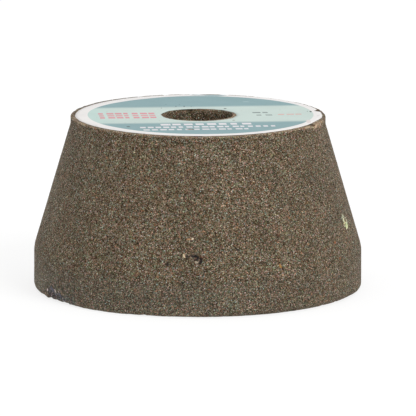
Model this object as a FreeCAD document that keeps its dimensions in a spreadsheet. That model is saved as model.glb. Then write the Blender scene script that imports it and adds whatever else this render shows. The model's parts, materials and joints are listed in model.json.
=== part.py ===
import FreeCAD, Part
import enum
import math
import os

import Sketcher

# Flaring cup grinding wheel: a moulded cup of bonded abrasive that grinds on its open rim, with a
# plain bore through its back web, two glass-fibre nets moulded into the web and a paper label on its
# back. It stands on its rim. Z is the axis of the bore, Z = 0 is the rim plane, lengths are in mm.

# Driving dimensions: name, value and what it measures.
DIMENSIONS = (
    ("rim_diameter", 75.0, "across the upright band above the grinding rim"),
    ("wheel_height", 40.0, "from the grinding rim to the face of the label on the back"),
    ("band_height", 9.6, "of the upright band, up to the shoulder where the flare starts"),
    ("back_diameter", 58.2, "across the back face"),
    ("back_land_height", 1.9, "of the upright land just below the back face"),
    ("rim_width", 13.0, "of the flat grinding rim, before its edges are rounded"),
    ("web_thickness", 14.0, "of the back web, from the back face to the floor of the cup"),
    ("floor_diameter", 40.0, "of the cup's floor, before its corner is rounded"),
    ("bore_diameter", 16.0, "of the plain bore for the spindle"),
    ("rim_outer_edge_radius", 1.5, "of the worn outer edge of the rim"),
    ("rim_inner_edge_radius", 1.0, "of the inner edge of the rim"),
    ("shoulder_radius", 8.0, "of the soft turn from the band to the flare"),
    ("land_blend_radius", 2.0, "of the turn from the flare to the back land"),
    ("back_edge_radius", 0.4, "of the outer edge of the back face"),
    ("floor_corner_radius", 3.0, "of the corner between the cup's floor and its wall"),
    ("bore_edge_radius", 0.4, "of both edges of the bore"),
    ("label_thickness", 0.15, "of the paper"),
    ("label_setback", 1.0, "from the outer edge of the back face to the edge of the label"),
    ("label_hole_clearance", 0.05, "from the rounded edge of the bore to the hole in the label"),
    ("net_thickness", 0.5, "of the glass-fibre cloth"),
    ("strand_width", 1.4, "of one strand of the cloth"),
    ("strand_pitch", 5.0, "from strand to strand"),
    ("net_bore_margin", 1.5, "from the bore to the hole in a net"),
    ("back_net_margin", 2.0, "from the edge of the label to the edge of the net below it"),
    ("floor_net_margin", 0.5, "from the rounded floor corner to the edge of the net in the floor"),
)

# Places and radii that follow from the driving dimensions, as expressions of the sheet's cells.
RIM_RADIUS = "dims.rim_diameter / 2"
RIM_INNER_RADIUS = "(dims.rim_diameter / 2 - dims.rim_width)"
BACK_RADIUS = "dims.back_diameter / 2"
FLOOR_RADIUS = "dims.floor_diameter / 2"
BORE_RADIUS = "dims.bore_diameter / 2"
RIM_Z = "0"
BACK_Z = "(dims.wheel_height - dims.label_thickness)"
LAND_Z = f"({BACK_Z} - dims.back_land_height)"
FLOOR_Z = f"({BACK_Z} - dims.web_thickness)"
LABEL_RADIUS = "(dims.back_diameter / 2 - dims.label_setback)"
LABEL_HOLE_RADIUS = "(dims.bore_diameter / 2 + dims.bore_edge_radius + dims.label_hole_clearance)"
NET_HOLE_RADIUS = "(dims.bore_diameter / 2 + dims.net_bore_margin)"
BACK_NET_RADIUS = f"({LABEL_RADIUS} - dims.back_net_margin)"
FLOOR_NET_RADIUS = f"({FLOOR_RADIUS} - dims.floor_corner_radius - dims.floor_net_margin)"
BACK_NET_Z = f"({BACK_Z} - dims.net_thickness)"

ORIGIN = FreeCAD.Vector(0, 0, 0)
UP = FreeCAD.Vector(0, 0, 1)

# How a sketch numbers its horizontal axis, which starts at the origin.
SKETCH_AXIS = -1


class CurvePoint(enum.IntEnum):
    """How a sketch numbers the points of a curve."""

    START = 1
    END = 2
    CENTRE = 3


doc = FreeCAD.newDocument("flaring_cup_wheel")


def fill_sheet():
    """Writes every driving dimension and its meaning into the sheet, with the name as the cell's alias."""
    sheet = doc.addObject("Spreadsheet::Sheet", "dims")
    for row, (name, value, meaning) in enumerate(DIMENSIONS, start=1):
        sheet.set(f"A{row}", name)
        sheet.set(f"B{row}", str(value))
        sheet.setAlias(f"B{row}", name)
        sheet.set(f"C{row}", meaning)
    doc.recompute()


def value_of(expression):
    """The number that an expression of the sheet's cells gives for the sizes above."""
    sheet = doc.getObject("dims")
    return float(sheet.evalExpression(expression))


def origin_plane(body, role):
    return next(f for f in body.Origin.OriginFeatures if f.Role == role)


def new_body(label):
    body = doc.addObject("PartDesign::Body", label)
    body.Label = label
    return body


def new_sketch(body, name, plane):
    sketch = body.newObject("Sketcher::SketchObject", name)
    sketch.AttachmentSupport = [(origin_plane(body, plane), "")]
    sketch.MapMode = "FlatFace"
    return sketch


def place_corner(sketch, line, name, radius, height):
    """Holds the start of a line at a radius and a height that follow the sheet."""
    for axis, kind, expression in (("r", "DistanceX", radius), ("z", "DistanceY", height)):
        if expression == RIM_Z:
            sketch.addConstraint(Sketcher.Constraint("PointOnObject", line, CurvePoint.START, SKETCH_AXIS))
            continue
        constraint = sketch.addConstraint(
            Sketcher.Constraint(
                kind, SKETCH_AXIS, CurvePoint.START, line, CurvePoint.START, value_of(expression)
            )
        )
        sketch.renameConstraint(constraint, f"{name}_{axis}")
        sketch.setExpression(f"Constraints.{name}_{axis}", expression)


def draw_section(sketch, corners):
    """Draws a closed outline through named corners, each a radius and a height."""
    points = [FreeCAD.Vector(value_of(r), value_of(z), 0) for _, r, z in corners]
    count = len(points)
    for i in range(count):
        sketch.addGeometry(Part.LineSegment(points[i], points[(i + 1) % count]), False)
    for i in range(count):
        following = (i + 1) % count
        sketch.addConstraint(
            Sketcher.Constraint("Coincident", i, CurvePoint.END, following, CurvePoint.START)
        )
    for i, (name, radius, height) in enumerate(corners):
        place_corner(sketch, i, name, radius, height)


def revolve(body, sketch, name):
    revolution = body.newObject("PartDesign::Revolution", name)
    revolution.Profile = sketch
    revolution.ReferenceAxis = (sketch, ["V_Axis"])
    revolution.Angle = 360
    doc.recompute()
    return revolution


def round_edge(body, base, name, radius, height, fillet_size):
    """Rounds the circular edge that lies at a radius and a height."""
    near = 1e-4
    wanted_radius, wanted_height = value_of(radius), value_of(height)
    edges = [
        f"Edge{i}"
        for i, edge in enumerate(base.Shape.Edges, start=1)
        if isinstance(edge.Curve, Part.Circle)
        and abs(edge.Curve.Radius - wanted_radius) < near
        and abs(edge.Curve.Center.z - wanted_height) < near
    ]
    fillet = body.newObject("PartDesign::Fillet", name)
    fillet.Base = (base, edges)
    fillet.setExpression("Radius", f"dims.{fillet_size}")
    doc.recompute()
    return fillet


def moulded_cup():
    """The cup before the nets: its half section turned about the bore axis, with its edges rounded."""
    body = new_body("cup_moulding")
    sketch = new_sketch(body, "cup_section", "XZ_Plane")
    draw_section(
        sketch,
        (
            ("rim_inner", RIM_INNER_RADIUS, RIM_Z),
            ("rim_outer", RIM_RADIUS, RIM_Z),
            ("shoulder", RIM_RADIUS, "dims.band_height"),
            ("land", BACK_RADIUS, LAND_Z),
            ("back_edge", BACK_RADIUS, BACK_Z),
            ("bore_back", BORE_RADIUS, BACK_Z),
            ("bore_floor", BORE_RADIUS, FLOOR_Z),
            ("floor_corner", FLOOR_RADIUS, FLOOR_Z),
        ),
    )
    solid = revolve(body, sketch, "cup_turned")
    for name, radius, height, fillet_size in (
        ("round_rim_outer", RIM_RADIUS, RIM_Z, "rim_outer_edge_radius"),
        ("round_rim_inner", RIM_INNER_RADIUS, RIM_Z, "rim_inner_edge_radius"),
        ("round_shoulder", RIM_RADIUS, "dims.band_height", "shoulder_radius"),
        ("round_land", BACK_RADIUS, LAND_Z, "land_blend_radius"),
        ("round_back", BACK_RADIUS, BACK_Z, "back_edge_radius"),
        ("round_floor", FLOOR_RADIUS, FLOOR_Z, "floor_corner_radius"),
        ("round_bore_back", BORE_RADIUS, BACK_Z, "bore_edge_radius"),
        ("round_bore_floor", BORE_RADIUS, FLOOR_Z, "bore_edge_radius"),
    ):
        solid = round_edge(body, solid, name, radius, height, fillet_size)
    return body


def disc_face(radius):
    circle = Part.Circle(ORIGIN, UP, value_of(radius))
    return Part.Face(Part.Wire(circle.toShape()))


def gap_face(x_span, y_span):
    corner = FreeCAD.Vector(x_span[0], y_span[0], 0)
    return Part.makePlane(x_span[1] - x_span[0], y_span[1] - y_span[0], corner)


def net_outline(radius):
    """One flat face: a ring around the bore, holed by the square gaps between crossing strands.

    The outermost strand still crosses its neighbours, so no strand comes loose at the cut edge.
    """
    reach = value_of(radius)
    pitch = value_of("dims.strand_pitch")
    half_strand = value_of("dims.strand_width / 2")
    outermost = math.sqrt(reach**2 - pitch**2)
    strands_each_side = int(outermost / pitch + 0.5)
    strands = [(k + 0.5) * pitch for k in range(-strands_each_side, strands_each_side)]
    beyond_edge = reach + pitch
    gap_starts = [-beyond_edge] + [place + half_strand for place in strands]
    gap_ends = [place - half_strand for place in strands] + [beyond_edge]
    spans = list(zip(gap_starts, gap_ends))
    gaps = [gap_face(x_span, y_span) for x_span in spans for y_span in spans]
    ring = disc_face(radius).cut(disc_face(NET_HOLE_RADIUS))
    return ring.cut(Part.makeCompound(gaps))


def glass_net(label, radius, base_z):
    """A round piece of open glass-fibre cloth, as thick as its strands."""
    outline = doc.addObject("Part::Feature", f"{label}_outline")
    outline.Shape = net_outline(radius)
    outline.setExpression("Placement.Base.z", base_z)
    net = doc.addObject("Part::Extrusion", label)
    net.Base = outline
    net.DirMode = "Custom"
    net.Dir = UP
    net.setExpression("LengthFwd", "dims.net_thickness")
    net.Solid = True
    net.Label = label
    doc.recompute()
    return net


def abrasive_cup(moulding, nets):
    """The cup with the nets pressed into it: the abrasive fills the gaps between their strands."""
    pressed_in = doc.addObject("Part::Compound", "pressed_in_nets")
    pressed_in.Links = nets
    cup = doc.addObject("Part::Cut", "abrasive_cup")
    cup.Base = moulding
    cup.Tool = pressed_in
    cup.Label = "abrasive_cup"
    doc.recompute()
    return cup


def back_label():
    """The paper ring on the back face."""
    body = new_body("back_label")
    sketch = new_sketch(body, "label_outline", "XY_Plane")
    for name, radius in (("edge", LABEL_RADIUS), ("hole", LABEL_HOLE_RADIUS)):
        circle = sketch.addGeometry(Part.Circle(ORIGIN, UP, value_of(radius)), False)
        sketch.addConstraint(
            Sketcher.Constraint(
                "Coincident", circle, CurvePoint.CENTRE, SKETCH_AXIS, CurvePoint.START
            )
        )
        constraint = sketch.addConstraint(Sketcher.Constraint("Radius", circle, value_of(radius)))
        sketch.renameConstraint(constraint, f"{name}_radius")
        sketch.setExpression(f"Constraints.{name}_radius", radius)
    pad = body.newObject("PartDesign::Pad", "label_sheet")
    pad.Profile = sketch
    pad.setExpression("Length", "dims.label_thickness")
    body.setExpression("Placement.Base.z", BACK_Z)
    doc.recompute()
    return body


def check_model(parts, moulding, nets):
    """Stops the build if an object failed, a piece isn't one sound solid or a net isn't fully bedded."""
    for obj in doc.Objects:
        if {"Invalid", "Error"} & set(obj.State):
            raise RuntimeError(f"{obj.Label} failed to build: {obj.State}")
    for part in parts:
        shape = part.Shape
        if shape.isNull() or not shape.isValid() or len(shape.Solids) != 1:
            raise RuntimeError(f"{part.Label} is not one sound solid")
        print(f"{part.Label}: volume {shape.Volume:.1f} mm3")
    cup = next(part for part in parts if part.Label == "abrasive_cup")
    bedded = moulding.Shape.Volume - cup.Shape.Volume
    in_nets = sum(net.Shape.Volume for net in nets)
    allowed_share = 0.001
    if abs(bedded - in_nets) > allowed_share * in_nets:
        raise RuntimeError(f"the nets hold {in_nets:.2f} mm3, but {bedded:.2f} mm3 is bedded in the cup")


def main():
    fill_sheet()
    moulding = moulded_cup()
    nets = [
        glass_net("back_glass_net", BACK_NET_RADIUS, BACK_NET_Z),
        glass_net("floor_glass_net", FLOOR_NET_RADIUS, FLOOR_Z),
    ]
    parts = [abrasive_cup(moulding, nets), back_label(), *nets]
    check_model(parts, moulding, nets)
    os.makedirs("parts", exist_ok=True)
    for part in parts:
        part.Shape.exportStep(f"parts/{part.Label}.step")


main()
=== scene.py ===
import json
import math
import bpy
import numpy as np
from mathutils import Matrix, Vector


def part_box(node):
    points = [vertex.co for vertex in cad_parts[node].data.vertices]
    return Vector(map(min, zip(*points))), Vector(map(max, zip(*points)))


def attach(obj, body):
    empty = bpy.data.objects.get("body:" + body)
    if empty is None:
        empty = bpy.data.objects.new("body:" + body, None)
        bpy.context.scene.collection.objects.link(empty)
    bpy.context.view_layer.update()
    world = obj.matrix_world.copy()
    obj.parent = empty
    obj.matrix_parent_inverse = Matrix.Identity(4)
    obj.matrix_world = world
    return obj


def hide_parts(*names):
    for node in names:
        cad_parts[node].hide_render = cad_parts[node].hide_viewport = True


# Flaring cup grinding wheel: gritty stone, paper label on its back, two woven glass nets in its web.
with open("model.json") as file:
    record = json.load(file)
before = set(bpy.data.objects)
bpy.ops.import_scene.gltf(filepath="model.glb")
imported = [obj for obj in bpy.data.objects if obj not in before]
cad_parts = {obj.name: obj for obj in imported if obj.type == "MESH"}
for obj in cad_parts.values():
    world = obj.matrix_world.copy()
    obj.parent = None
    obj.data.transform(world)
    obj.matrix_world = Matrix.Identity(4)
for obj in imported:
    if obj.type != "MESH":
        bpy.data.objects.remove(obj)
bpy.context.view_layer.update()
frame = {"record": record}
mm = 0.001  # sizes below are in millimetres, meshes are in metres

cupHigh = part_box("abrasive_cup")[1] / mm
labelLow, labelHigh = (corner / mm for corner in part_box("back_label"))
rimRadius = cupHigh.x
labelRadius = labelHigh.x
labelTop = labelHigh.z
backHeight = labelLow.z  # the stone's back, which the label lies on
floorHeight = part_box("floor_glass_net")[0].z / mm
boreRadius = next(m["dims"]["r_mm"] for m in frame["record"]["mounts"] if m["name"] == "bore")
print("frame loaded, wheel", round(2 * rimRadius, 2), "by", round(labelTop, 2), "mm")


# Surfaces as whole arrays

def smoothStep(low, high, x):
    # 0 below low, 1 above high and 3tt - 2ttt between
    t = np.clip((x - low) / (high - low), 0, 1)
    return t * t * (3 - 2 * t)


def lumpNoise(points, cell, seed):
    # random values on a cubic lattice of that cell size, blended from its corners by smooth steps
    size = 64
    table = np.random.default_rng(seed).random((size, size, size))
    place = points / cell
    low = np.floor(place).astype(int)
    part = place - low
    part = part * part * (3 - 2 * part)
    total = np.zeros(points.shape[:-1])
    for corner in np.ndindex(2, 2, 2):
        share = np.prod(np.where(np.array(corner) == 1, part, 1 - part), axis=-1)
        spot = (low + corner) % size
        total += share * table[spot[..., 0], spot[..., 1], spot[..., 2]]
    return total


def gridFaces(rows, columns, closedRows=True):
    # quads between neighbouring rows and columns; columns always close on themselves
    i = np.arange(rows if closedRows else rows - 1)[:, None]
    j = np.arange(columns)[None, :]
    iNext, jNext = (i + 1) % rows, (j + 1) % columns
    corners = (i * columns + j, iNext * columns + j, iNext * columns + jNext, i * columns + jNext)
    return np.stack(np.broadcast_arrays(*corners), axis=-1).reshape(-1, 4)


def turned(radius, height, bearing):
    # a section turned about Z: bearing 0 is the front, -Y, and grows towards +X
    x, y, z = np.broadcast_arrays(radius * np.sin(bearing), -radius * np.cos(bearing), height)
    return np.stack([x, y, z], axis=-1)


def newPiece(name, points, faces, material, node):
    # a smooth mesh at the origin that rides on the only body in place of its CAD node
    mesh = bpy.data.meshes.new(name)
    mesh.from_pydata((points.reshape(-1, 3) * mm).tolist(), [], faces)
    mesh.shade_smooth()
    mesh.materials.append(material)
    piece = bpy.data.objects.new(name, mesh)
    bpy.context.scene.collection.objects.link(piece)
    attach(piece, "root")
    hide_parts(node)
    return piece


def paintAttribute(piece, name, values):
    attribute = piece.data.attributes.new(name, "FLOAT", "POINT")
    attribute.data.foreach_set("value", values.astype(np.float32).ravel())


# Shader nodes

def paint(red, green, blue):
    # a screen colour, 0 to 255, as the linear colour that shaders use
    c = np.array([red, green, blue]) / 255
    linear = np.where(c <= 0.04045, c / 12.92, ((c + 0.055) / 1.055) ** 2.4)
    return (*linear.tolist(), 1.0)


def addNode(tree, kind, sockets, **options):
    # one node with its options set and each input linked or given a value
    node = tree.nodes.new("ShaderNode" + kind)
    node.location = (180 * len(tree.nodes), 0)
    for option, value in options.items():
        setattr(node, option, value)
    for key, value in sockets.items():
        if isinstance(value, bpy.types.NodeSocket):
            tree.links.new(value, node.inputs[key])
        else:
            node.inputs[key].default_value = value
    return node


def maths(tree, operation, *values):
    return addNode(tree, "Math", dict(enumerate(values)), operation=operation).outputs[0]


def vectorMaths(tree, operation, *values):
    node = addNode(tree, "VectorMath", dict(enumerate(values)), operation=operation)
    return node.outputs["Value" if operation in ("LENGTH", "DOT_PRODUCT") else "Vector"]


def stretchVector(tree, vector, amount):
    return addNode(tree, "VectorMath", {0: vector, "Scale": amount}, operation="SCALE").outputs["Vector"]


def ramp(tree, value, low, high, to=(0, 1)):
    # a smooth step of the value from low to high
    sockets = {"Value": value, "From Min": low, "From Max": high, "To Min": to[0], "To Max": to[1]}
    return addNode(tree, "MapRange", sockets, interpolation_type="SMOOTHSTEP").outputs[0]


def mixColour(tree, share, first, second, mode="MIX"):
    sockets = {0: share, 6: first, 7: second}
    return addNode(tree, "Mix", sockets, data_type="RGBA", blend_type=mode).outputs[2]


def dimColour(tree, colour, shade):
    # the colour times a grey value
    grey = addNode(tree, "CombineColor", {0: shade, 1: shade, 2: shade}).outputs[0]
    return mixColour(tree, 1.0, colour, grey, "MULTIPLY")


def mixValue(tree, share, first, second):
    return addNode(tree, "Mix", {0: share, 2: first, 3: second}, data_type="FLOAT").outputs[0]


def colourRamp(tree, value, stops):
    node = addNode(tree, "ValToRGB", {"Fac": value})
    elements = node.color_ramp.elements
    elements[0].position, elements[0].color = stops[0]
    elements[1].position, elements[1].color = stops[-1]
    for position, colour in stops[1:-1]:
        elements.new(position).color = colour
    return node.outputs["Color"]


def newGroup(name, inputs, outputs):
    tree = bpy.data.node_groups.new(name, "ShaderNodeTree")
    for direction, sockets in (("INPUT", inputs), ("OUTPUT", outputs)):
        for socketName, kind in sockets.items():
            tree.interface.new_socket(name=socketName, in_out=direction, socket_type="NodeSocket" + kind)
    return tree, tree.nodes.new("NodeGroupInput").outputs, tree.nodes.new("NodeGroupOutput").inputs


def useGroup(tree, group, sockets):
    return addNode(tree, "Group", sockets, node_tree=group).outputs


def newMaterial(name):
    material = bpy.data.materials.new(name)
    material.use_nodes = True
    tree = material.node_tree
    tree.nodes.clear()
    return material, tree


def objectPlace(tree):
    # the point in the wheel's own frame, in millimetres
    return stretchVector(tree, addNode(tree, "TexCoord", {}).outputs["Object"], 1 / mm)


def pointValue(tree, name):
    # what paintAttribute put on the points
    return addNode(tree, "Attribute", {}, attribute_name=name).outputs["Fac"]


def finishSurface(tree, sockets):
    surface = addNode(tree, "BsdfPrincipled", sockets)
    addNode(tree, "OutputMaterial", {"Surface": surface.outputs["BSDF"]})


def gritGroup():
    # packed grains: each Voronoi cell is a grain with a tone, a tint and a height of its own; grains of
    # double size take up a tenth of the room, with pores where a grain has fallen out
    outputs = {"Tone": "Float", "Tint": "Float", "Relief": "Float", "Pore": "Float"}
    tree, given, result = newGroup("grit", {"Vector": "Vector", "Grain": "Float"}, outputs)
    place = stretchVector(tree, given["Vector"], maths(tree, "DIVIDE", 1, given["Grain"]))
    wobble = addNode(tree, "TexNoise", {"Vector": place, "Scale": 1.4, "Detail": 2}).outputs["Color"]
    place = vectorMaths(tree, "ADD", place, stretchVector(tree, wobble, 0.55))
    small = addNode(tree, "TexVoronoi", {"Vector": place, "Scale": 1})
    large = addNode(tree, "TexVoronoi", {"Vector": place, "Scale": 0.5})
    hole = addNode(tree, "TexVoronoi", {"Vector": place, "Scale": 0.33})
    ofSmall = addNode(tree, "SeparateColor", {"Color": small.outputs["Color"]}).outputs
    ofLarge = addNode(tree, "SeparateColor", {"Color": large.outputs["Color"]}).outputs
    ofHole = addNode(tree, "SeparateColor", {"Color": hole.outputs["Color"]}).outputs
    isLarge = maths(tree, "GREATER_THAN", ofLarge[0], 0.90)
    evenTone = maths(tree, "MULTIPLY_ADD", ofLarge[1], 0.8, 0.1)
    tree.links.new(mixValue(tree, isLarge, ofSmall[0], evenTone), result["Tone"])
    tree.links.new(mixValue(tree, isLarge, ofSmall[1], ofLarge[2]), result["Tint"])
    isHole = maths(tree, "GREATER_THAN", ofHole[0], 0.92)
    pore = maths(tree, "MULTIPLY", isHole, ramp(tree, hole.outputs["Distance"], 0.42, 0.22))
    tree.links.new(pore, result["Pore"])
    dome = maths(tree, "SUBTRACT", 1, small.outputs["Distance"])
    grain = maths(tree, "MULTIPLY", dome, maths(tree, "ADD", 0.5, ofSmall[2]))
    tree.links.new(maths(tree, "SUBTRACT", grain, maths(tree, "MULTIPLY", pore, 1.2)), result["Relief"])
    return tree


def mottleGroup():
    # slow light and dark patches: noise about as wide as Size
    tree, given, result = newGroup("mottle", {"Vector": "Vector", "Size": "Float"}, {"Value": "Float"})
    scale = maths(tree, "DIVIDE", 1, given["Size"])
    noise = addNode(tree, "TexNoise", {"Vector": given["Vector"], "Scale": scale, "Detail": 3})
    tree.links.new(ramp(tree, noise.outputs[0], 0.25, 0.75), result["Value"])
    return tree


def speckGroup():
    # scattered specks: a share of the Voronoi cells of that size shows its middle
    inputs = {"Vector": "Vector", "Size": "Float", "Share": "Float"}
    tree, given, result = newGroup("specks", inputs, {"Mask": "Float"})
    scale = maths(tree, "DIVIDE", 1, given["Size"])
    cell = addNode(tree, "TexVoronoi", {"Vector": given["Vector"], "Scale": scale})
    chance = addNode(tree, "SeparateColor", {"Color": cell.outputs["Color"]}).outputs[0]
    chosen = maths(tree, "LESS_THAN", chance, given["Share"])
    middle = ramp(tree, cell.outputs["Distance"], 0.3, 0.18)
    tree.links.new(maths(tree, "MULTIPLY", chosen, middle), result["Mask"])
    return tree


def raggedSpotGroup():
    # one uneven spot: distance from its centre in half lengths and half widths, shaken by noise
    inputs = {"Vector": "Vector", "Centre": "Vector", "Along": "Vector"}
    inputs |= {"Length": "Float", "Width": "Float", "Ragged": "Float"}
    tree, given, result = newGroup("raggedSpot", inputs, {"Mask": "Float"})
    offset = vectorMaths(tree, "SUBTRACT", given["Vector"], given["Centre"])
    lengthwise = vectorMaths(tree, "DOT_PRODUCT", offset, given["Along"])
    inLine = stretchVector(tree, given["Along"], lengthwise)
    sideways = vectorMaths(tree, "LENGTH", vectorMaths(tree, "SUBTRACT", offset, inLine))
    lengths = maths(tree, "DIVIDE", lengthwise, given["Length"])
    widths = maths(tree, "DIVIDE", sideways, given["Width"])
    far = vectorMaths(tree, "LENGTH", addNode(tree, "CombineXYZ", {0: lengths, 1: widths}).outputs[0])
    noise = addNode(tree, "TexNoise", {"Vector": given["Vector"], "Scale": 2.6, "Detail": 2}).outputs[0]
    shake = maths(tree, "MULTIPLY", maths(tree, "SUBTRACT", noise, 0.5), given["Ragged"])
    tree.links.new(ramp(tree, maths(tree, "ADD", far, shake), 1.15, 0.85), result["Mask"])
    return tree


def dashRowGroup():
    # a row of plain dashes from Left to Right about Middle, each filling an uneven part of its pitch
    inputs = dict.fromkeys(("Left", "Right", "Middle", "Height", "Pitch", "Seed"), "Float")
    tree, given, result = newGroup("dashRow", {"Vector": "Vector"} | inputs, {"Mask": "Float"})
    place = addNode(tree, "SeparateXYZ", {"Vector": given["Vector"]}).outputs
    cells = maths(tree, "DIVIDE", maths(tree, "SUBTRACT", place[0], given["Left"]), given["Pitch"])
    number = maths(tree, "ADD", maths(tree, "FLOOR", cells), given["Seed"])
    chance = addNode(tree, "TexWhiteNoise", {"W": number}, noise_dimensions="1D").outputs["Value"]
    width = maths(tree, "ADD", 0.52, maths(tree, "MULTIPLY", chance, 0.36))
    dash = maths(tree, "LESS_THAN", maths(tree, "FRACT", cells), width)
    within = maths(tree, "MULTIPLY", maths(tree, "GREATER_THAN", place[0], given["Left"]),
                   maths(tree, "LESS_THAN", place[0], given["Right"]))
    aside = maths(tree, "ABSOLUTE", maths(tree, "SUBTRACT", place[1], given["Middle"]))
    tall = maths(tree, "LESS_THAN", aside, maths(tree, "DIVIDE", given["Height"], 2))
    tree.links.new(maths(tree, "MULTIPLY", dash, maths(tree, "MULTIPLY", within, tall)), result["Mask"])
    return tree


grit, mottle, specks = gritGroup(), mottleGroup(), speckGroup()
raggedSpot, dashRow = raggedSpotGroup(), dashRowGroup()
print("node groups made")


# The stone

stone = {
    "turnSteps": 432,
    "bandHeight": 9.6,       # upright band above the rim
    "landHeight": 1.9,       # upright land below the back
    "mouthRadius": 24.5,
    "floorRadius": 20.0,
    "labelSetback": 1.06,    # from the label's edge to the edge of the back
    "arcStep": 0.4,
    "grain": (0.03, 0.9),    # depth and width of the grain, the slow swell, the pores and the edges' nibbles
    "swell": (0.03, 9),
    "pore": (0.16, 0.8),
    "nibble": (0.2, 1.5),
    "edgeReach": 0.9,        # how far nibbles and wear reach from an edge
    "lipWidth": 0.6,         # the bore's lip
    "lipHeight": 0.3,
    "lipRaised": 0.1,        # where it is raised by more than this, a share of the relief is left
    "lipRelief": 0.25,
    "boreShade": [(0, 0.26), (2.4, 0.27), (3.2, 0.12), (6, 0.05)],  # depth in the bore and how strong the painted shade is
    "netSetback": 1.5,       # from the bore to the nets
    "bedMargin": 0.2,        # round the nets, which lie in shallow beds
    "floorBedDepth": 0.28,
    "labelMargin": 0.3,      # the stone is flat under the label, up to this far from its edge
    "faceSlack": 0.01,       # heights that count as on a flat face
    "grainSize": 0.165,      # of the grains in the colours
    "markShare": 0.92,       # how fully a mark covers the grain
}

stoneColours = {
    # dark, painted into the pores as the shade in them
    "pore": paint(30, 26, 22),
    "shadeBlack": (0.0, 0.0, 0.0, 1),        # black, painted as shade into the bore and over the darker patch
    # pale bluish grey, painted on the outside as light from the floor and from the left
    "dustAndPaintedLight": paint(112, 128, 127),
    "rubbed": paint(134, 116, 97),     # worn grains turn towards this colour, and are then made paler
    "paler": (1.88, 1.88, 1.82, 1),
    "bareGrain": paint(216, 192, 172),
}

backRadius = labelRadius + stone["labelSetback"]
netHole = boreRadius + stone["netSetback"]
wallHeights = (0, stone["bandHeight"], backHeight - stone["landHeight"], backHeight)
wallRadii = (rimRadius, rimRadius, backRadius, backRadius)

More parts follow.
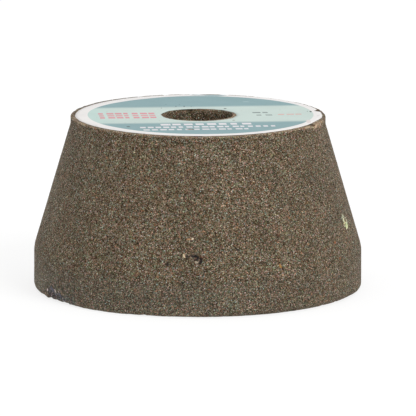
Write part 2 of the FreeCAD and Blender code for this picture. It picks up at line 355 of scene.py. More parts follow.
# flecks and pits on the outer wall: bearing and height of the middle, half length and half width, tilt in
# degrees from level, depth, raggedness and colour
wallFlecks = [
    # the dark colours of these pits are painted shade in them
    (-3.65, 13.85, 0.24, 0.30, 0, 0.12, 0.4, (48, 41, 40)),     # pits in front, with a pale streak below
    (-1.75, 13.9, 0.40, 0.25, 0, 0.12, 0.4, (38, 33, 35)),
    (-0.65, 13.9, 0.46, 0.26, -10, 0.18, 0.4, (14, 11, 13)),
    (0.05, 13.6, 0.38, 0.28, -40, 0.18, 0.4, (20, 16, 17)),
    (-0.35, 13.25, 0.36, 0.18, -10, 0.15, 0.4, (32, 26, 26)),
    (1.28, 13.2, 0.32, 0.34, 0, 0.18, 0.4, (22, 17, 17)),
    (1.2, 12.75, 0.32, 0.30, 0, 0.18, 0.4, (26, 20, 19)),
    (0.85, 12.45, 0.42, 0.25, 20, 0.15, 0.4, (30, 24, 22)),
    (-0.45, 12.65, 0.46, 0.25, -15, 0.0, 0.4, (168, 152, 132)),
    (-10.6, 12.0, 0.34, 0.40, 0, 0.15, 0.6, (38, 28, 26)),
    (14.4, 15.2, 0.55, 0.26, -35, 0.15, 0.6, (34, 29, 26)),
    (-4.9, 14.0, 0.55, 0.22, -68, 0.0, 0.3, (218, 196, 160)),
    (-1.9, 17.7, 0.28, 0.20, 25, 0.0, 0.3, (232, 216, 190)),
    (-3.2, 17.6, 0.45, 0.20, 5, 0.0, 0.4, (172, 134, 98)),
    # the darks round the flake's pit are painted shade in it
    (68.9, 17.6, 0.45, 0.20, 0, 0.1, 0.5, (62, 52, 34)),        # pale flake on the right, round a pit
    (68.9, 17.1, 0.40, 0.22, 0, 0.1, 0.5, (68, 60, 32)),
    (72.7, 15.4, 0.60, 0.20, 10, 0.1, 0.5, (70, 62, 44)),
    (71.2, 18.7, 0.75, 0.22, -32, 0.0, 0.5, (186, 186, 158)),
    (70.2, 18.4, 0.60, 0.20, 15, 0.0, 0.5, (182, 186, 158)),
    (71.1, 17.7, 0.52, 0.58, 0, 0.0, 0.5, (214, 213, 180)),
    (73.3, 18.0, 0.60, 0.20, -10, 0.0, 0.5, (184, 178, 152)),
    (74.0, 17.3, 0.52, 0.38, -40, 0.0, 0.5, (184, 176, 152)),
    (71.3, 17.0, 0.95, 0.24, 8, 0.0, 0.5, (206, 194, 148)),
    (73.1, 16.8, 0.60, 0.26, 0, 0.0, 0.5, (204, 212, 178)),
    (72.6, 16.3, 0.95, 0.42, 0, 0.0, 0.6, (198, 206, 152)),
    (72.6, 15.9, 0.95, 0.34, 10, 0.0, 0.6, (216, 218, 174)),
    (70.4, 16.4, 0.50, 0.17, 0, 0.0, 0.5, (190, 192, 160)),
    (72.4, 17.5, 0.36, 0.30, 0, 0.2, 0.6, (100, 88, 60)),
    (59.2, 13.8, 0.36, 0.30, 0, 0.0, 0.5, (146, 92, 60)),       # rusty specks
    (60.0, 10.2, 0.40, 0.28, 0, 0.0, 0.5, (142, 92, 62)),
    (29.95, 11.72, 0.32, 0.22, 0, 0.05, 0.4, (58, 36, 18)),
    (30.1, 11.0, 0.64, 0.25, -72, 0.0, 0.4, (164, 120, 62)),
    (30.95, 10.25, 0.34, 0.25, -30, 0.08, 0.4, (48, 32, 20)),
    (30.85, 8.9, 0.28, 0.30, 0, 0.0, 0.4, (176, 142, 114)),
    (-62.0, 2.6, 0.90, 0.50, -30, 0.0, 1.0, (98, 98, 110)),     # bluish, dark and pale flecks in the bruise
    (-57.0, 1.9, 0.80, 0.45, -30, 0.0, 1.0, (98, 98, 112)),
    (-60.1, 1.3, 0.90, 0.45, -20, 0.0, 1.0, (92, 90, 104)),
    (-65.8, 2.1, 0.35, 0.30, 60, 0.0, 0.5, (226, 208, 204)),
    (-59.8, 2.4, 0.28, 0.55, 20, 0.0, 0.5, (222, 205, 198)),
    (-57.7, 2.5, 0.28, 0.30, 0, 0.0, 0.5, (190, 172, 168)),
    (-63.2, 1.9, 0.55, 0.24, -40, 0.1, 0.6, (60, 59, 70)),
    (-59.0, 1.7, 0.60, 0.22, -40, 0.1, 0.6, (58, 57, 68)),
    (-57.4, 1.0, 0.55, 0.22, -35, 0.1, 0.6, (54, 53, 64)),
    (-55.7, 1.2, 0.50, 0.22, -40, 0.1, 0.6, (56, 55, 66)),
    (65.2, 39.85, 0.85, 0.45, 0, 0.25, 0.5, (96, 64, 36)),      # notch, streak and flecks at the chip
    (59.0, 39.75, 1.50, 0.34, 0, 0.05, 0.6, (178, 156, 130)),
    (56.0, 39.5, 0.40, 0.26, 0, 0.0, 0.5, (146, 98, 82)),
    (70.6, 39.75, 0.95, 0.40, 0, 0.0, 0.7, (180, 136, 116)),
    (73.8, 39.3, 0.70, 0.34, -40, 0.0, 0.6, (226, 204, 190)),
    (67.4, 39.3, 0.75, 0.40, 10, 0.0, 0.8, (206, 176, 146)),
    (106.0, 39.85, 1.60, 0.70, 0, -0.1, 0.7, (104, 88, 72)),    # crumbs raised at the tear
]
# stained places that keep their grain, given in the same way, with a factor in place of the colour
wallStains = [
    (-0.4, 13.5, 1.5, 0.85, -22, 0.05, 1.0, (0.66, 0.62, 0.62)),
    (-62.6, 1.7, 1.7, 1.5, 0, 0.2, 1.0, (0.82, 0.89, 1.24)),
    (-57.4, 0.9, 2.4, 1.35, -6, 0.2, 1.0, (0.80, 0.88, 1.26)),
    (-51.5, 1.1, 2.4, 1.0, -4, 0.1, 1.2, (0.80, 0.88, 1.06)),
    (96.5, 39.75, 2.4, 0.8, 0, 0.0, 1.0, (0.72, 0.66, 0.64)),
]
bruise = {"bearing": -59.5, "height": 0, "inset": 1.4, "half": (4.6, 2.4), "depth": 0.9, "lump": 0.8}
chip = {"bearing": 70.5, "height": 39.8, "inset": 0, "half": (4.8, 1.0), "depth": 0.2, "lump": 1.1}
# a tear in the label with dark stone in it, and a notch beside the label painted dark as its shadow
tear = {"bearing": 102.8, "halfSpan": 3.4, "depth": 1.2, "outside": -0.6, "half": (2.0, 1.2), "ragged": 0.5,
        "factor": (0.5, 0.42, 0.38)}
notchShadow = {"bearing": 64.7, "outside": 0.27, "half": (0.9, 0.5), "ragged": 0.2, "colour": (40, 21, 7)}
# uneven round the wheel, as bearing and amount: how pale the ring beside the label is, how pale and how
# raised the bore's lip is, and how far the rim's outer edge is worn away or, below 0, stands out
ringWear = [(-180, 0.3), (-150, 0.4), (-135, 0), (-95, 0), (-80, 1), (76, 1), (84, 0.1), (112, 0.1),
            (122, 0.3), (180, 0.3)]
lipWear = [(-180, 0.3), (-100, 0.3), (-60, 0.1), (-30, 0.5), (-19, 1), (10, 1), (16, 0.3), (36, 0.3), (43, 1),
           (85, 0.9), (98, 0.2), (110, 0), (130, 0.1), (150, 0.3), (180, 0.3)]
lipRise = [(-180, 0), (-100, 0), (-60, 0.14), (110, 0.14), (130, 0), (180, 0)]
rimWear = [(-180, 0), (-68, 0), (-67, -0.55), (-65.2, -0.55), (-64.2, 0), (-50, 0), (-46, -0.3), (-26, -0.3),
           (-25, 0), (5, 0), (22, 0.2), (38, 0.5), (60, 0.5), (80, 0), (180, 0)]
# a broad patch on the right that is a little darker, and painted pale light on the band, more of it on the
# left
shadePatch = {"bearing": 50, "height": 24, "half": (12, 15), "depth": 0.09}
bandPaintedLight = [(-180, 0.05), (-90, 0.09), (-40, 0.075), (0, 0.065), (40, 0.025), (90, 0.02), (180, 0.05)]
sidePaintedLight = [(-180, 0.0), (-75, 0.025), (-40, 0), (180, 0)]


def onWall(bearing, height):
    # the point of the smooth outer wall at that bearing in degrees
    return turned(np.interp(height, wallHeights, wallRadii), height, math.radians(bearing))


def alongWall(bearing, tilt):
    # the level direction along the wall, turned up by the tilt
    b, t = math.radians(bearing), math.radians(tilt)
    return np.array([math.cos(b) * math.cos(t), math.sin(b) * math.cos(t), math.sin(t)])


def spotDistance(points, centre, along, halfLength, halfWidth):
    # distance from a spot's centre, counted in half lengths along it and half widths across it
    offset = points - centre
    lengthwise = offset @ along
    sideways = np.linalg.norm(offset - lengthwise[..., None] * along, axis=-1)
    return np.hypot(lengthwise / halfLength, sideways / halfWidth)


def roundWheel(bearing, amounts):
    # an amount that changes along the bearing, read off straight lines between the given bearings
    degrees = (np.degrees(bearing) + 180) % 360 - 180
    return np.interp(degrees, *np.transpose(amounts))


def roundedSection(corners):
    # a closed outline: straight runs between corners, each corner turned into an arc that touches
    # both runs at edge radius / tan(half angle) from it
    place = np.array([c[:2] for c in corners], float)
    edge = np.array([c[2] for c in corners], float)[:, None]
    behind = np.roll(place, 1, axis=0) - place
    ahead = np.roll(place, -1, axis=0) - place
    behind /= np.linalg.norm(behind, axis=1, keepdims=True)
    ahead /= np.linalg.norm(ahead, axis=1, keepdims=True)
    half = np.arccos(np.sum(behind * ahead, axis=1, keepdims=True)) / 2
    arcStart, arcEnd = (place + way * edge / np.tan(half) for way in (behind, ahead))
    middle = behind + ahead
    centre = place + middle / np.linalg.norm(middle, axis=1, keepdims=True) * edge / np.sin(half)
    runs = []
    for i, (_, _, edgeRadius, step) in enumerate(corners):
        first, last = (np.arctan2(*(end[i] - centre[i])[::-1]) for end in (arcStart, arcEnd))
        turn = (last - first + np.pi) % (2 * np.pi) - np.pi
        count = max(4, round(edgeRadius * abs(turn) / stone["arcStep"]))
        angle = first + turn * np.linspace(0, 1, count, endpoint=False)
        runs.append(centre[i] + edgeRadius * np.stack([np.cos(angle), np.sin(angle)], axis=-1))
        goal = arcStart[(i + 1) % len(corners)]
        count = max(2, round(np.linalg.norm(goal - arcEnd[i]) / step))
        runs.append(arcEnd[i] + (goal - arcEnd[i]) * np.linspace(0, 1, count, endpoint=False)[:, None])
    return np.concatenate(runs)


def stoneSurface():
    # the rounded section turned about Z, then sunk along its normals by grain, pores, chips and beds
    section = roundedSection([  # radius, height, edge radius, step along the run that follows
        (stone["mouthRadius"], 0, 1.0, 0.65),
        (rimRadius, 0, 1.3, 0.45),
        (rimRadius, stone["bandHeight"], 8.0, 0.45),
        (backRadius, backHeight - stone["landHeight"], 2.0, 0.45),
        (backRadius, backHeight, 0.4, 0.85),
        (boreRadius, backHeight, 0.15, 0.9),
        (boreRadius, floorHeight, 0.4, 0.75),
        (stone["floorRadius"], floorHeight, 3.0, 0.8),
    ])
    way = np.roll(section, -1, axis=0) - np.roll(section, 1, axis=0)
    way /= np.linalg.norm(way, axis=1, keepdims=True)
    bearing = np.arange(stone["turnSteps"])[:, None] * 2 * np.pi / stone["turnSteps"]
    base = turned(section[:, 0], section[:, 1], bearing)
    normal = turned(way[:, 1], -way[:, 0], bearing)
    radius, height = section[:, 0], section[:, 1]

    grainDepth, grainWidth = stone["grain"]
    swellDepth, swellWidth = stone["swell"]
    poreDepth, poreWidth = stone["pore"]
    nibbleDepth, nibbleWidth = stone["nibble"]
    sink = grainDepth * lumpNoise(base, grainWidth, 11)
    sink += 0.5 * grainDepth * np.random.default_rng(12).random(sink.shape)
    sink += swellDepth * lumpNoise(base, swellWidth, 13)
    sink += poreDepth * smoothStep(0.72, 0.9, lumpNoise(base, poreWidth, 14))

    corner = {"rim": (rimRadius, 0), "mouth": (stone["mouthRadius"], 0), "back": (backRadius, backHeight),
              "bore": (boreRadius, backHeight), "boreFloor": (boreRadius, floorHeight)}
    near = {name: np.exp(-(np.hypot(radius - r, height - z) / stone["edgeReach"]) ** 2)
            for name, (r, z) in corner.items()}
    nibble = smoothStep(0.5, 0.85, lumpNoise(base, nibbleWidth, 15))
    sink += nibbleDepth * nibble * (sum(near.values()) - 0.6 * near["back"])  # the back has fewer
    sink += roundWheel(bearing, rimWear) * near["rim"]

    uneven = 0.4 + 0.9 * lumpNoise(base, grainWidth, 16)
    for bearingAt, heightAt, halfLength, halfWidth, tilt, depth, _, _ in wallFlecks + wallStains:
        centre, along = onWall(bearingAt, heightAt), alongWall(bearingAt, tilt)
        sink += depth * np.exp(-spotDistance(base, centre, along, halfLength, halfWidth) ** 2) * uneven
    for damage, seed in ((bruise, 19), (chip, 17)):
        centre, along = onWall(damage["bearing"], damage["height"]), alongWall(damage["bearing"], 0)
        centre = centre - turned(damage["inset"], 0, math.radians(damage["bearing"]))
        broken = np.exp(-spotDistance(base, centre, along, *damage["half"]) ** 4)
        sink += damage["depth"] * broken * smoothStep(0.2, 0.8, lumpNoise(base, damage["lump"], seed))
    chipped = broken  # of the last, the chip

    lipRadius = boreRadius + stone["lipWidth"]
    onLip = (radius < lipRadius) & (height > backHeight - stone["lipHeight"])
    lift = roundWheel(bearing, lipRise) * onLip
    sink = np.where(lift > stone["lipRaised"], stone["lipRelief"] * sink, sink)

    # flat under the label, with beds for the nets
    underLabel = (radius < labelRadius - stone["labelMargin"]) & (radius > lipRadius)
    underLabel &= height > backHeight - stone["faceSlack"]
    sink = np.where(underLabel, 0, sink)
    patchyBed = smoothStep(0.18, 0.5, lumpNoise(base, 1.8, 20))
    for node, depth in (("back_glass_net", None), ("floor_glass_net", stone["floorBedDepth"])):
        low, high = (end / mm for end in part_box(node))
        face = backHeight if depth is None else floorHeight
        inBed = (radius > netHole - stone["bedMargin"]) & (radius < high.x + stone["bedMargin"])
        inBed &= np.abs(height - face) < stone["faceSlack"]
        sink = sink + np.where(inBed, high.z - low.z if depth is None else depth * patchyBed, 0)

    # pale worn edges: the ring beside the label, the bore's lip and the chip, and a little of it at the rim
    patchy = lumpNoise(base, 2.2, 18)
    ring = (height > backHeight - 0.5) & (radius > labelRadius - 0.5)
    wear = np.where(ring, 0.1 + 0.8 * patchy, 0) * smoothStep(backHeight - 0.35, backHeight - 0.05, height)
    wear = wear * roundWheel(bearing, ringWear) + 0.25 * (near["rim"] + near["mouth"]) * patchy
    wear = wear + 1.6 * near["bore"] ** 2 * (0.5 + patchy) * roundWheel(bearing, lipWear)
    wear = np.clip(np.maximum(wear, chipped * (0.6 + 0.8 * patchy)), 0, 1)

    # painted shade down the bore, less of it further down, and the darker patch
    boreShade = np.interp(backHeight - height, *np.transpose(stone["boreShade"]))
    inBore = boreShade * smoothStep(lipRadius, boreRadius + stone["lipWidth"] / 2, radius)
    centre, along = onWall(shadePatch["bearing"], shadePatch["height"]), alongWall(shadePatch["bearing"], 0)
    patch = shadePatch["depth"] * np.exp(-spotDistance(base, centre, along, *shadePatch["half"]) ** 2)
    boreShadeAndPatch = np.maximum(inBore, patch)

    # painted pale bluish light on the outside only, standing for light from the floor and from the left: on
    # the band, fading out at its top, and on the whole of the side
    onBand = smoothStep(stone["bandHeight"] + 1, stone["bandHeight"] - 4, height)
    outside = smoothStep(stone["mouthRadius"] + 3, stone["mouthRadius"] + 5, radius)
    dustAndPaintedLight = (roundWheel(bearing, bandPaintedLight) * onBand + roundWheel(bearing, sidePaintedLight)) * outside
    points = base - normal * sink[..., None]
    points[..., 2] = np.maximum(points[..., 2] + lift, 0)  # nothing below the rim's plane
    return points, {"wear": wear, "boreShadeAndPatch": boreShadeAndPatch, "dustAndPaintedLight": dustAndPaintedLight}


def stoneMaterial():
    # grains of mixed tone and tint, then patches, pores painted dark as their shade, painted shade in the
    # bore and the darker patch, painted pale light, worn edges and the single marks
    material, tree = newMaterial("bonded grit")
    place = objectPlace(tree)
    grains = useGroup(tree, grit, {"Vector": place, "Grain": stone["grainSize"]})
    tone = colourRamp(tree, grains["Tone"], [
        (0.00, paint(26, 15, 2)),
        (0.24, paint(57, 44, 25)),
        (0.55, paint(97, 85, 67)),
        (0.82, paint(131, 120, 102)),
        (0.96, paint(160, 151, 135)),
        (1.00, paint(208, 203, 188)),
    ])
    tint = colourRamp(tree, grains["Tint"], [
        (0.00, (0.68, 1.08, 1.26, 1)),
        (0.20, (0.84, 1.06, 0.70, 1)),
        (0.40, (1.00, 1.03, 1.26, 1)),
        (0.60, (1.09, 1.00, 0.66, 1)),
        (0.80, (1.26, 0.93, 1.12, 1)),
        (0.95, (1.42, 0.85, 0.70, 1)),
        (1.00, (1.56, 0.87, 0.58, 1)),
    ])
    colour = mixColour(tree, 1.0, tone, tint, "MULTIPLY")
    patches = useGroup(tree, mottle, {"Vector": place, "Size": 7.0})["Value"]
    colour = dimColour(tree, colour, ramp(tree, patches, 0, 1, (0.90, 1.08)))
    # the pores painted dark, as the shade in them
    colour = mixColour(tree, maths(tree, "MULTIPLY", grains["Pore"], 0.75), colour, stoneColours["pore"])
    # painted shade in the bore, and the darker patch on the right
    colour = mixColour(tree, pointValue(tree, "boreShadeAndPatch"), colour, stoneColours["shadeBlack"])
    # painted pale bluish light on the band and on the left side
    colour = mixColour(tree, pointValue(tree, "dustAndPaintedLight"), colour, stoneColours["dustAndPaintedLight"])
    wear = pointValue(tree, "wear")
    worn = mixColour(tree, 0.3, colour, stoneColours["rubbed"])
    worn = mixColour(tree, 1.0, worn, stoneColours["paler"], "MULTIPLY")
    colour = mixColour(tree, wear, colour, worn)
    bare = useGroup(tree, specks, {"Vector": place, "Size": 0.6, "Share": 0.35})["Mask"]
    bare = maths(tree, "MULTIPLY", maths(tree, "MULTIPLY", bare, wear), 0.7)
    colour = mixColour(tree, bare, colour, stoneColours["bareGrain"])
    tearAt, notchAt = (turned(labelRadius + spot["outside"], backHeight, math.radians(spot["bearing"]))
                       for spot in (tear, notchShadow))
    tearAlong, notchAlong = (alongWall(spot["bearing"], 0) for spot in (tear, notchShadow))
    marks = [(tearAt, tearAlong, *tear["half"], tear["ragged"], tear["factor"], "MULTIPLY")]
    marks += [(onWall(b, h), alongWall(b, tilt), length, width, ragged, factor, "MULTIPLY")
              for b, h, length, width, tilt, _, ragged, factor in wallStains]
    marks += [(onWall(b, h) - turned(depth, 0, math.radians(b)), alongWall(b, tilt), length, width, ragged,
               paint(*tint), "MIX") for b, h, length, width, tilt, depth, ragged, tint in wallFlecks]
    # painted shadow in the notch beside the label
    marks.append((notchAt, notchAlong, *notchShadow["half"], notchShadow["ragged"], paint(*notchShadow["colour"]), "MIX"))
    for centre, along, length, width, ragged, tint, mode in marks:
        spot = useGroup(tree, raggedSpot, {
            "Vector": place, "Centre": centre.tolist(), "Along": along.tolist(),
            "Length": length, "Width": width, "Ragged": ragged})
        share = maths(tree, "MULTIPLY", spot["Mask"], stone["markShare"])
        colour = mixColour(tree, share, colour, (*tint[:3], 1.0), mode)
    glint = maths(tree, "GREATER_THAN", grains["Tone"], 0.93)
    bump = addNode(tree, "Bump", {"Height": grains["Relief"], "Strength": 0.45, "Distance": 0.12 * mm})
    finishSurface(tree, {
        "Base Color": colour,
        "Roughness": ramp(tree, glint, 0, 1, (0.92, 0.45)),
        "Specular IOR Level": 0.3,
        "Normal": bump.outputs["Normal"],
    })
    return material


stonePoints, stoneMarks = stoneSurface()
cup = newPiece("gritStone", stonePoints, gridFaces(*stonePoints.shape[:2]).tolist(), stoneMaterial(),
               "abrasive_cup")
for markName, amounts in stoneMarks.items():
    paintAttribute(cup, markName, np.broadcast_to(amounts, stonePoints.shape[:2]))
print("stone made,", 2 * len(cup.data.polygons), "triangles")


# The paper label

label = {
    "turnSteps": 540,
    "topRings": 26,
    "holeClearance": 0.385,  # from the bore to the hole in the paper, which is off centre and not round
    "holeCentre": (0.2, -0.1),
    "holeOval": 0.11,
    "edgeFray": 0.18,
    "holeFray": 0.30,
    "buckle": 0.05,          # the paper is not quite flat
    "printCentre": (0.5, -0.5),
    "printRadius": 25.7,
    "printTurn": 5.4,        # degrees
    "printSoft": 0.06,
    "bandFront": -10.7,      # the pale band lies between two chords, with soft sides
    "bandRear": 10.45,
    "bandSoft": 1.5,
    "bandEnd": (-18, -24),   # its left end is a little greener
    "edgeThick": 0.04,       # pressed thin at its outer edge, and less so at the hole
    "holeThick": 0.07,
    "pressWidth": 1.2,
    "speckRagged": 0.8,
    "speckShare": 0.9,
    # paper and print are not quite round: bearing and how far the edge is moved
    "edgeShift": [(-180, -0.3), (-140, -0.3), (-124, -0.4), (-114, -0.28), (-105, -0.26), (-97, -0.12),
                  (-85, 0.03), (-74, 0.06), (-63, 0), (-45, -0.08), (45, -0.12), (66, -0.13), (75, -0.15),
                  (80, 0.06), (83, 0.22), (110, 0.3), (140, 0.35), (165, -0.1), (180, -0.3)],
    "printShift": [(-180, 0), (-168, -0.05), (-160, -0.1), (-153, -0.45), (-133, -0.54), (-100, 0), (-60, 0),
                   (-43, -0.2), (25, -0.25), (53, -0.16), (80, 0), (110, 0.4), (126, 0.54), (139, 0.4),
                   (148, 0.08), (180, 0)],
}

labelColours = {
    "border": paint(238, 235, 233),
    "band": paint(202, 217, 211),
    "bandEnd": paint(195, 217, 211),
    "side": paint(141, 170, 174),
    "red": paint(226, 108, 128),
    "faintRed": paint(226, 150, 142),
    "grey": paint(120, 132, 130),
    "white": paint(246, 238, 240),
}

# plain dashes in place of words: left, right, middle, height, pitch, seed, colour and strength
labelDashes = [
    (-22.7, -9.3, 2.4, 1.7, 1.915, 1, "red", 0.75),
    (-22.7, -9.3, -0.3, 1.7, 1.915, 1, "red", 0.6),
    (-22.7, -9.3, -3.0, 1.7, 1.915, 1, "red", 0.75),
    (12.6, 17.2, 1.5, 1.2, 2.3, 3, "grey", 0.9),
    (13.2, 17.2, -1.9, 1.2, 2.1, 4, "grey", 0.8),
    (18.2, 23.6, -1.3, 0.9, 2.0, 5, "faintRed", 0.8),
    (-9.75, 10.9, -13.0, 2.1, 2.65, 6, "white", 0.8),
    (-14.7, 16.0, -16.4, 1.7, 1.75, 7, "white", 0.75),
    (-14.2, 10.3, -19.6, 1.6, 1.9, 8, "white", 0.72),
]

# specks on the paper: x, y, half length, half width and colour
labelSpecks = [
    (25.75, 4.4, 0.24, 0.9, (44, 50, 46)),
    (25.0, 4.7, 0.12, 0.6, (142, 160, 150)),
    (-15.8, -16.5, 0.4, 0.6, (86, 96, 96)),
    (-1.7, -19.7, 0.9, 0.55, (108, 84, 60)),
    (6.2, 8.1, 0.35, 0.5, (90, 96, 92)),
    (8.1, -7.6, 0.3, 0.4, (120, 116, 106)),
    (25.1, -8.8, 0.55, 2.2, (228, 217, 214)),   # smears on the border
    (27.4, -1.1, 0.35, 0.7, (222, 218, 217)),
    (3.6, 26.6, 2.9, 1.5, (150, 175, 179)),
    (0.2, 26.6, 2.2, 0.9, (176, 190, 192)),
    (-5.1, 10.8, 0.16, 0.5, (96, 112, 116)),    # dust behind the bore
    (-3.2, 11.0, 0.20, 0.6, (86, 96, 100)),
    (-4.3, 13.2, 0.14, 0.4, (112, 134, 138)),
    (-7.4, 13.6, 0.16, 0.4, (116, 140, 144)),
    (-1.6, 11.0, 0.14, 0.4, (110, 130, 134)),
    (-8.4, 8.4, 0.14, 0.4, (120, 134, 130)),
    (11.0, 17.5, 0.75, 0.35, (170, 194, 197)),  # scratch
]


def labelSurface():
    # a thin ring: its lower face from the hole out and its upper face back in, with frayed radii
    bearing = np.arange(label["turnSteps"])[:, None] * 2 * np.pi / label["turnSteps"]
    inner = turned(boreRadius + label["holeClearance"], 0, bearing)
    outer = turned(labelRadius, 0, bearing)
    hole = boreRadius + label["holeClearance"] - label["holeOval"] * np.cos(2 * bearing)
    hole = hole + label["holeFray"] * lumpNoise(inner, 1.1, 22) ** 2
    away = np.abs(np.degrees(bearing) - tear["bearing"])
    torn = np.clip(1 - away / tear["halfSpan"], 0, 1) * (0.6 + 0.6 * lumpNoise(outer, 0.8, 23))
    edge = labelRadius + roundWheel(bearing, label["edgeShift"])
    edge = edge - label["edgeFray"] * lumpNoise(outer, 1.6, 21) ** 2 - tear["depth"] * torn
    lowerFace, upperFace = np.linspace(0, 1, 3), np.linspace(1, 0, label["topRings"])
    outward = np.concatenate([lowerFace, upperFace])[:, None]
    start = turned(hole, 0, bearing) + (*label["holeCentre"], 0)
    flat = start + (turned(edge, 0, bearing) - start) * outward
    isTop = np.arange(len(outward)) >= len(lowerFace)
    buckle = label["buckle"] * (0.7 * lumpNoise(flat, 11, 24) + 0.3 * lumpNoise(flat, 3, 25))
    least = label["holeThick"] + (label["edgeThick"] - label["holeThick"]) * outward[:, 0]
    fromEdge = (edge - hole) * np.minimum(outward, 1 - outward)[:, 0]
    thin = (labelTop - backHeight - least) * smoothStep(label["pressWidth"], 0, fromEdge)
    top = np.maximum(labelTop - buckle - thin, backHeight + least)
    flat[..., 2] = np.where(isTop, top, backHeight)
    printEdge = label["printRadius"] + roundWheel(bearing, label["printShift"])
    return flat, np.broadcast_to(printEdge, flat.shape[:2])


def labelMaterial():
    # a pale band across a round print, with dashes, a plain border, specks, dust and paper fibre
    material, tree = newMaterial("printed paper")
    place = objectPlace(tree)
    turn = (0, 0, -math.radians(label["printTurn"]))
    straight = addNode(tree, "Mapping", {"Vector": place, "Rotation": turn}).outputs["Vector"]
    flat = addNode(tree, "SeparateXYZ", {"Vector": straight}).outputs
    fromCentre = vectorMaths(tree, "SUBTRACT", place, (*label["printCentre"], labelTop))
    beyond = maths(tree, "SUBTRACT", vectorMaths(tree, "LENGTH", fromCentre), pointValue(tree, "printEdge"))
    inPrint = ramp(tree, beyond, label["printSoft"], -label["printSoft"])
    front, rear, soft = label["bandFront"], label["bandRear"], label["bandSoft"]
    inBand = maths(tree, "MULTIPLY", ramp(tree, flat[1], front - soft, front + soft),
                   ramp(tree, flat[1], rear + soft, rear - soft))
    atEnd = ramp(tree, flat[0], *label["bandEnd"])
    band = mixColour(tree, atEnd, labelColours["band"], labelColours["bandEnd"])
    colour = mixColour(tree, inBand, labelColours["side"], band)
    for left, right, middle, height, pitch, seed, name, strength in labelDashes:
        dashes = useGroup(tree, dashRow, {
            "Vector": straight, "Left": left, "Right": right, "Middle": middle,
            "Height": height, "Pitch": pitch, "Seed": seed})["Mask"]
        colour = mixColour(tree, maths(tree, "MULTIPLY", dashes, strength), colour, labelColours[name])
    colour = mixColour(tree, inPrint, labelColours["border"], colour)
    for x, y, length, width, tint in labelSpecks:
        spot = useGroup(tree, raggedSpot, {
            "Vector": place, "Centre": (x, y, labelTop), "Along": (1, 0, 0),
            "Length": length, "Width": width, "Ragged": label["speckRagged"]})["Mask"]
        colour = mixColour(tree, maths(tree, "MULTIPLY", spot, label["speckShare"]), colour, paint(*tint))
    dustAndPaintedLight = useGroup(tree, specks, {"Vector": place, "Size": 1.1, "Share": 0.05})["Mask"]
    colour = mixColour(tree, maths(tree, "MULTIPLY", dustAndPaintedLight, 0.25), colour, paint(120, 112, 100))
    fibre = useGroup(tree, mottle, {"Vector": place, "Size": 0.5})["Value"]
    cloud = useGroup(tree, mottle, {"Vector": place, "Size": 6.0})["Value"]
    colour = dimColour(tree, colour, ramp(tree, mixValue(tree, 0.4, cloud, fibre), 0, 1, (0.955, 1.02)))
    bump = addNode(tree, "Bump", {"Height": fibre, "Strength": 0.25, "Distance": 0.03 * mm})
    finishSurface(tree, {
        "Base Color": colour,
        "Roughness": ramp(tree, fibre, 0, 1, (0.6, 0.75)),
        "Specular IOR Level": 0.12,
        "Normal": bump.outputs["Normal"],
    })
    return material


labelPoints, printEdges = labelSurface()
paper = newPiece("paperLabel", labelPoints, gridFaces(*labelPoints.shape[:2]).tolist(), labelMaterial(),
                 "back_label")
paintAttribute(paper, "printEdge", printEdges)
print("label made")


# The woven glass nets

cloth = {
    "pitch": 5.0,
    "halfWidth": 0.7,
    "halfThick": 0.12,
    "wave": 0.125,           # how far a strand rises and dips at each crossing
    "stray": 0.12,           # how far it strays to the side
    "strayTurns": (0.55, 1.7),  # radians a millimetre, along the strand and from strand to strand
    "leastEnd": 1.0,         # strands nearer than this to the ring's side are left out
    "step": 0.35,
    "sides": 12,
    "setGap": 100,           # keeps the fibres of the two sets of strands apart
    "fibreStretch": (0.25, 9.0, 1.0),
}


def strandSurfaces(offset, outer):
    # a flat lens carried along a line that rises and dips as sin(pi x / pitch) and is cut off along the
    # ring's circles, at root(radius squared - offset squared): two strands if the hole cuts it, or else one
    turn = -np.arange(cloth["sides"]) * 2 * np.pi / cloth["sides"]
    across = offset + cloth["halfWidth"] * np.cos(turn)
    far = np.sqrt(outer**2 - across**2)
    spans = [(-far, far)]
    if np.abs(across).max() < netHole:
        near = np.sqrt(netHole**2 - across**2)
        spans = [(-far, -near), (near, far)]
    phase = math.sin(math.pi * offset / cloth["pitch"])
    turnAlong, turnAcross = cloth["strayTurns"]
    for start, end in spans:
        share = np.linspace(0, 1, max(3, round((end - start).mean() / cloth["step"])))[:, None]
        along = start + (end - start) * share
        sway = np.sin(turnAlong * along + turnAcross * offset) * np.sin(np.pi * share)
        aside = across + cloth["stray"] * sway
        rise = cloth["wave"] * phase * np.sin(np.pi * along / cloth["pitch"])
        rise = rise + cloth["halfThick"] * np.sin(turn)
        yield np.stack([along, aside, rise], axis=-1)


def wovenNet(name, node, material):
    # plain weave: one set of strands, and the same set turned by a quarter
    low, high = (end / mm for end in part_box(node))
    lines = np.arange(-math.floor(high.x / cloth["pitch"]) + 0.5, high.x / cloth["pitch"]) * cloth["pitch"]
    furthest = high.x - cloth["leastEnd"] - cloth["halfWidth"]
    strands = [strand for offset in lines if abs(offset) < furthest
               for strand in strandSurfaces(offset, high.x)]
    sides = cloth["sides"]
    points, strandPlace, faces, count = [], [], [], 0
    for quarter in (0, 1):
        for strand in strands:
            x, y, z = np.moveaxis(strand, -1, 0)
            points.append(np.stack([-y, x, z] if quarter else [x, y, z], axis=-1).reshape(-1, 3))
            middle = y.mean()
            lane = np.full_like(x, middle + cloth["setGap"] * quarter)
            strandPlace.append(np.stack([x, y - middle, lane], axis=-1).reshape(-1, 3))
            rows = len(strand)
            ring = np.arange(sides)
            faces += (gridFaces(rows, sides, closedRows=False) + count).tolist()
            faces += [(ring + count).tolist(), (ring + count + (rows - 1) * sides)[::-1].tolist()]
            count += rows * sides
    points = np.concatenate(points) + (0, 0, (low.z + high.z) / 2)
    net = newPiece(name, points, faces, material, node)
    attribute = net.data.attributes.new("strandPlace", "FLOAT_VECTOR", "POINT")
    attribute.data.foreach_set("vector", np.concatenate(strandPlace).astype(np.float32).ravel())
    return net


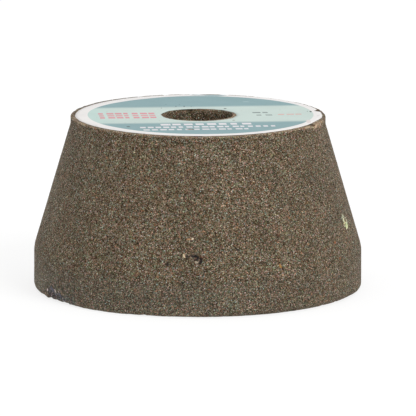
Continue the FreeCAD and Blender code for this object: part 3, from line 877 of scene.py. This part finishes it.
def clothMaterial():
    # streaks along each strand, with patches of resin and specks of dirt
    material, tree = newMaterial("glass cloth")
    place = objectPlace(tree)
    strand = addNode(tree, "Attribute", {}, attribute_name="strandPlace").outputs["Vector"]
    fibres = vectorMaths(tree, "MULTIPLY", strand, cloth["fibreStretch"])
    streak = addNode(tree, "TexNoise", {"Vector": fibres, "Scale": 1.0, "Detail": 3}).outputs[0]
    colour = colourRamp(tree, streak, [
        (0.30, paint(116, 100, 70)),
        (0.50, paint(158, 144, 110)),
        (0.68, paint(198, 188, 162)),
    ])
    resin = useGroup(tree, mottle, {"Vector": place, "Size": 3.0})["Value"]
    colour = mixColour(tree, maths(tree, "MULTIPLY", resin, 0.5), colour, paint(118, 92, 58))
    dirt = useGroup(tree, specks, {"Vector": place, "Size": 0.5, "Share": 0.45})["Mask"]
    colour = mixColour(tree, maths(tree, "MULTIPLY", dirt, 0.8), colour, paint(62, 54, 44))
    bump = addNode(tree, "Bump", {"Height": streak, "Strength": 0.6, "Distance": 0.06 * mm})
    finishSurface(tree, {
        "Base Color": colour,
        "Roughness": ramp(tree, resin, 0, 1, (0.6, 0.35)),
        "Specular IOR Level": 0.5,
        "Normal": bump.outputs["Normal"],
    })
    return material


glassCloth = clothMaterial()
for netName, node in (("backNet", "back_glass_net"), ("floorNet", "floor_glass_net")):
    net = wovenNet(netName, node, glassCloth)
    print(netName, "made,", len(net.data.polygons), "faces")


# Floor, light and camera

studio = {
    "floorHalf": 4000,
    "floorDrop": 0.02,       # below the rim, so that the two never lie in one plane
    "floorGlow": 0.76,       # seen by the camera only
    "floorColour": 0.28,
    "worldLight": 0.78,      # from above, and less from below
    "worldBelow": 0.56,
    "worldTurn": (-0.3, 0.1),  # upward part of the direction where the one turns into the other
    "keyPlace": (900, -1100, 1000),
    "keySize": 900,
    "keyPower": 12.5,
    "cameraPlace": (0, -1745.8, 340.26),
    "cameraDown": 10.45,     # degrees below level
    "cameraRight": 0.045,
    "cameraRoll": -0.17,
    "lens": 671.5,
    "sensor": 36,
}


def seenDirectly(tree):
    # 1 for rays that show the backdrop: from the camera, or by way of gloss or glass
    path = addNode(tree, "LightPath", {}).outputs
    glossOrGlass = maths(tree, "MAXIMUM", path["Is Glossy Ray"], path["Is Transmission Ray"])
    return maths(tree, "MAXIMUM", path["Is Camera Ray"], glossOrGlass)


def floorMaterial():
    # pale and matt, lifted to white for direct view; clear from below, so that the rim can be seen
    material, tree = newMaterial("pale floor")
    shade = studio["floorColour"]
    matt = addNode(tree, "BsdfDiffuse", {"Color": (shade, shade, shade, 1)}).outputs[0]
    strength = maths(tree, "MULTIPLY", seenDirectly(tree), studio["floorGlow"])
    glow = addNode(tree, "Emission", {"Strength": strength}).outputs[0]
    above = addNode(tree, "AddShader", {0: matt, 1: glow}).outputs[0]
    below = addNode(tree, "NewGeometry", {}).outputs["Backfacing"]
    clear = addNode(tree, "BsdfTransparent", {}).outputs[0]
    mixed = addNode(tree, "MixShader", {0: below, 1: above, 2: clear}).outputs[0]
    addNode(tree, "OutputMaterial", {"Surface": mixed})
    return material


half = studio["floorHalf"] * mm
mesh = bpy.data.meshes.new("floor")
sheet = np.array([[-half, -half], [half, -half], [half, half], [-half, half]])
mesh.from_pydata([(x, y, -studio["floorDrop"] * mm) for x, y in sheet.tolist()], [], [(0, 1, 2, 3)])
mesh.materials.append(floorMaterial())
floor = bpy.data.objects.new("floor", mesh)
bpy.context.scene.collection.objects.link(floor)
floor.visible_diffuse = False
floor.visible_shadow = False

world = bpy.data.worlds.new("studio")
bpy.context.scene.world = world
world.use_nodes = True
sky = world.node_tree
sky.nodes.clear()
upward = addNode(sky, "SeparateXYZ", {"Vector": addNode(sky, "TexCoord", {}).outputs["Generated"]}).outputs[2]
light = ramp(sky, upward, *studio["worldTurn"], (studio["worldBelow"], studio["worldLight"]))
strength = mixValue(sky, seenDirectly(sky), light, 1.0)
background = addNode(sky, "Background", {"Color": (1, 1, 1, 1), "Strength": strength})
addNode(sky, "OutputWorld", {"Surface": background.outputs[0]})

softbox = bpy.data.lights.new("softbox", "AREA")
softbox.size = studio["keySize"] * mm
softbox.energy = studio["keyPower"]
key = bpy.data.objects.new("softbox", softbox)
bpy.context.scene.collection.objects.link(key)
key.location = [c * mm for c in studio["keyPlace"]]
key.rotation_euler = key.location.to_track_quat("Z", "Y").to_euler()

lens = bpy.data.cameras.new("camera")
lens.lens = studio["lens"]
lens.sensor_width = studio["sensor"]
camera = bpy.data.objects.new("camera", lens)
bpy.context.scene.collection.objects.link(camera)
camera.location = [c * mm for c in studio["cameraPlace"]]
camera.rotation_euler = [math.radians(a) for a in
                         (90 - studio["cameraDown"], studio["cameraRoll"], -studio["cameraRight"])]
bpy.context.scene.camera = camera
bpy.context.scene.view_settings.view_transform = "Standard"
print("studio set")
